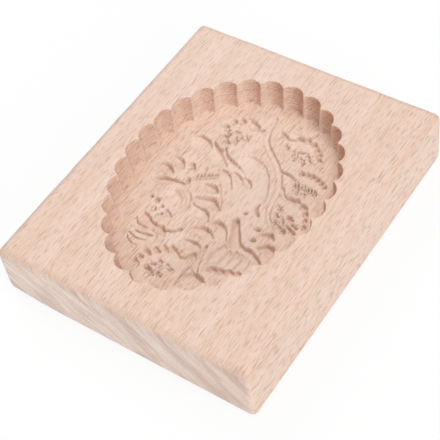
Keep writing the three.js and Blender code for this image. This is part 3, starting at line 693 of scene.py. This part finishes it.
def wall_tint(t, mm, along_normal, across_normal):
    """Tint of the cut wall, with its painted light and shade, and the cutter marks that curve across each
    flute.
    """
    faces_near = t.ramp(t.times(along_normal, -1.0), 0.25, 0.92)
    faces_right = t.ramp(across_normal, -0.65, 0.6)
    height = t.axis(mm, 2)
    aside, start = t.attribute("across_flute"), t.attribute("mark_start")
    arc = t.plus(t.plus(t.times(height, 1.5), start), t.times(t.times(aside, aside), -0.14))
    arcs = t.layers(t.plus(arc, t.times(aside, 0.18)), 3.0, 0.65)
    slanting = t.plus(t.math("SUBTRACT", t.times(height, 1.1), aside), start)
    crosses = t.layers(slanting, 1.0, 0.5)
    marks = t.math("MAXIMUM", t.ramp(arcs, 0.46, 0.64), t.times(t.ramp(crosses, 0.54, 0.64), faces_near))
    # Painted shade: walls that face left, away from the light, are darker and redder than walls that face
    # right
    tint = t.mix(faces_right, (0.95, 0.82, 0.75, 1), (0.965, 0.985, 0.985, 1))
    # Painted light on the flanks in the far left corner, painted shade on the far flank of each flute along
    # the left
    tint = t.tint(t.attribute("flank_light"), tint, 1.06, 1.11, 1.12)
    tint = t.tint(t.attribute("painted_flank_shade"), tint, 0.90, 0.86, 0.825)
    flanks = t.times(t.ramp(t.math("ABSOLUTE", aside), 2.0, 3.7), t.rest(faces_near))
    tint = t.tint(flanks, tint, 0.975, 0.955, 0.945)
    # Painted shade under the rim: darker and redder near the top of the walls that face the near side, less
    # where they face right
    upper = t.times(t.times(faces_near, t.ramp(height, 14.0, 21.0)), t.rest(t.times(faces_right, 0.7)))
    tint = t.mix(upper, tint, (0.80, 0.66, 0.59, 1))
    tint = t.tint(t.times(marks, 0.9), tint, 0.79, 0.70, 0.655)
    return t.tint(t.times(t.ramp(arcs, 0.46, 0.34), 0.8), tint, 1.06, 1.10, 1.11), marks


def beech_material():
    material = bpy.data.materials.new("beech_wood")
    t = Tree(material)
    mm = t.stretch(t.add("ShaderNodeTexCoord", out=3), 1000, 1000, 1000)
    normal = t.add("ShaderNodeTexCoord", out=1)
    across_normal, along_normal = t.axis(normal, 0), t.axis(normal, 1)
    # Millimetres in the tree's own directions: x tangential, y along the grain, z radial
    wood = t.add("ShaderNodeMapping", {"Vector": mm, "Location": (37.0, 11.0, 140.0),
                                       "Rotation": (0.012, math.radians(-22.5), 0.02)})
    drift = t.noise(t.stretch(wood, 0.03, 0.006, 0.03), 2.0, 0.5)
    radial = t.plus(t.axis(wood, 2), t.times(drift, 5.0))
    # Broad bands and fine dark lines of the growth rings
    bands = t.layers(t.times(radial, 0.35), 3.0)
    late_wood = t.ramp(t.layers(t.times(radial, 1.3)), 0.56, 0.72)
    # Ray flecks: thin ribbons, tall along the grain and long towards the bark
    fleck = t.ramp(t.noise(t.stretch(wood, 7.2, 0.25, 0.30), 1.0, 0.4), 0.585, 0.655)
    fine = t.noise(t.stretch(wood, 3.6, 0.12, 0.9))

    tone = t.mix(t.ramp(bands, 0.25, 0.75), srgb(240, 213, 199), srgb(233, 203, 183))
    tone = t.mix(t.times(late_wood, 0.16), tone, srgb(218, 182, 158))
    tone = t.mix(t.times(t.ramp(fine, 0.40, 0.64), 0.26), tone, srgb(216, 178, 155))
    tone = t.mix(t.times(fleck, 0.66), tone, srgb(182, 138, 112))
    cut = t.attribute("cut_wall")
    end_grain = t.ramp(t.math("ABSOLUTE", along_normal), 0.6, 0.97)
    tone = t.mix(t.times(end_grain, t.rest(cut)), tone, end_grain_tone(t, mm, bands))
    tint, marks = wall_tint(t, mm, along_normal, across_normal)
    tone = t.mix(cut, tone, t.mix(1.0, tone, tint, "MULTIPLY"))
    # Carved hollows are paler, with dark crescents where their walls turn from the light
    tone = t.mix(t.times(t.attribute("hollow"), 0.26), tone, srgb(240, 219, 206))
    tone = t.tint(t.attribute("crescent"), tone, 0.68, 0.52, 0.44)
    torn = t.attribute("torn")
    shreds = t.noise(t.stretch(wood, 1.9, 0.9, 1.4))
    tone = t.mix(t.times(torn, t.ramp(shreds, 0.52, 0.62)), tone, srgb(176, 124, 102))
    tone = t.mix(t.times(torn, t.ramp(shreds, 0.46, 0.38)), tone, srgb(248, 230, 214))
    tone = t.tint(t.attribute("foot_shade"), tone, 0.925, 0.91, 0.90)
    # The plank is a little paler towards its far left
    far_left = t.ramp(t.math("SUBTRACT", t.axis(mm, 1), t.axis(mm, 0)), -20.0, 110.0)
    tone = t.mix(t.times(far_left, 0.16), tone, srgb(250, 232, 222))
    # Painted light: the floor is lightened towards the wall, most on the far and right sides, against the
    # shade there
    tone = t.tint(t.attribute("painted_floor_light"), tone, 1.08, 1.10, 1.09)
    tone = t.mix(t.times(t.times(fleck, t.attribute("plain_floor")), 0.45), tone, srgb(168, 120, 94))
    # The rounded top edge is a little darker
    tone = t.tint(t.attribute("darker_top_edge"), tone, 0.94, 0.91, 0.885)
    side = t.times(t.ramp(t.math("ABSOLUTE", across_normal), 0.7, 0.95), t.rest(cut))
    tone = t.tint(side, tone, 0.957, 0.996, 1.015)
    # Painted highlight on the lands between the flutes and on the convex edges of the carving
    tone = t.mix(t.times(t.attribute("crest_highlight"), 0.6), tone, srgb(249, 231, 217))

    pits = t.plus(t.plus(fleck, t.times(fine, 0.5)), t.times(t.times(marks, cut), 1.5))
    surface = t.add("ShaderNodeBump", {"Height": pits, "Strength": 0.25, "Distance": 0.00008}, invert=True)
    shader = t.add("ShaderNodeBsdfPrincipled", {"Base Color": tone, "Roughness": 0.62,
                                                "Specular IOR Level": 0.3, "Normal": surface})
    t.add("ShaderNodeOutputMaterial", {"Surface": shader})
    return material


block.data.materials.append(beech_material())


# Floor, light and camera
FLOOR_GLOW = 0.87
SKY_LIGHT = 0.58


def white_floor():
    """Floor that is white to the eye and plain pale to the light that falls on it."""
    mesh = bpy.data.meshes.new("studio_floor")
    mesh.from_pydata([(-3, -3, 0), (3, -3, 0), (3, 3, 0), (-3, 3, 0)], [], [(0, 1, 2, 3)])
    floor = bpy.data.objects.new("studio_floor", mesh)
    bpy.context.scene.collection.objects.link(floor)
    material = bpy.data.materials.new("studio_white")
    t = Tree(material)
    rays = t.nodes.new("ShaderNodeLightPath").outputs
    seen = t.math("MAXIMUM", rays["Is Camera Ray"], rays["Is Glossy Ray"])
    seen = t.math("MAXIMUM", seen, rays["Is Transmission Ray"])
    matte = t.add("ShaderNodeBsdfDiffuse", {"Color": (0.95, 0.95, 0.95, 1)})
    glow = t.add("ShaderNodeEmission", {"Color": (1, 1, 1, 1), "Strength": 1.0})
    both = t.add("ShaderNodeMixShader", {0: t.times(seen, FLOOR_GLOW), 1: matte, 2: glow})
    t.add("ShaderNodeOutputMaterial", {"Surface": both})
    mesh.materials.append(material)


def soft_sun(name, azimuth, elevation, light):
    """A wide, even lamp; light is the brightness that it alone gives a white surface facing it."""
    lamp = bpy.data.lights.new(name, "SUN")
    lamp.energy = light * math.pi
    lamp.angle = math.radians(30)
    holder = bpy.data.objects.new(name, lamp)
    az, el = math.radians(azimuth), math.radians(elevation)
    towards = Vector((math.cos(az) * math.cos(el), math.sin(az) * math.cos(el), math.sin(el)))
    holder.rotation_euler = (-towards).to_track_quat("-Z", "Y").to_euler()
    bpy.context.scene.collection.objects.link(holder)


def white_world():
    """Even light from all round, and white where the camera sees past the floor."""
    world = bpy.data.worlds.new("studio")
    bpy.context.scene.world = world
    t = Tree(world)
    seen = t.nodes.new("ShaderNodeLightPath").outputs["Is Camera Ray"]
    strength = t.add("ShaderNodeMix", {0: seen, 2: SKY_LIGHT, 3: 1.0}, data_type="FLOAT")
    background = t.add("ShaderNodeBackground", {"Color": (1, 1, 1, 1), "Strength": strength})
    t.add("ShaderNodeOutputWorld", {"Surface": background})


white_floor()
soft_sun("overhead", 0, 70, 0.257)
soft_sun("side", 330, 20, 0.283)
soft_sun("back", 150, 45, 0.171)
white_world()

camera_data = bpy.data.cameras.new("photo_camera")
camera_data.lens = 102.14
camera_data.sensor_width = 36.0
camera_data.clip_start = 0.01
camera_data.clip_end = 50.0
camera = bpy.data.objects.new("photo_camera", camera_data)
right = Vector((0.82590889, 0.55251599, -0.11225234))
down = Vector((0.37921865, -0.69172366, -0.61458246))
forward = Vector((-0.41721423, 0.46502093, -0.78082509))
pose = Matrix((right, -down, -forward)).transposed().to_4x4()
pose.translation = Vector((0.1761295, -0.2009862, 0.3358767))
camera.matrix_world = pose
bpy.context.scene.collection.objects.link(camera)
bpy.context.scene.camera = camera
bpy.context.scene.view_settings.view_transform = "Standard"
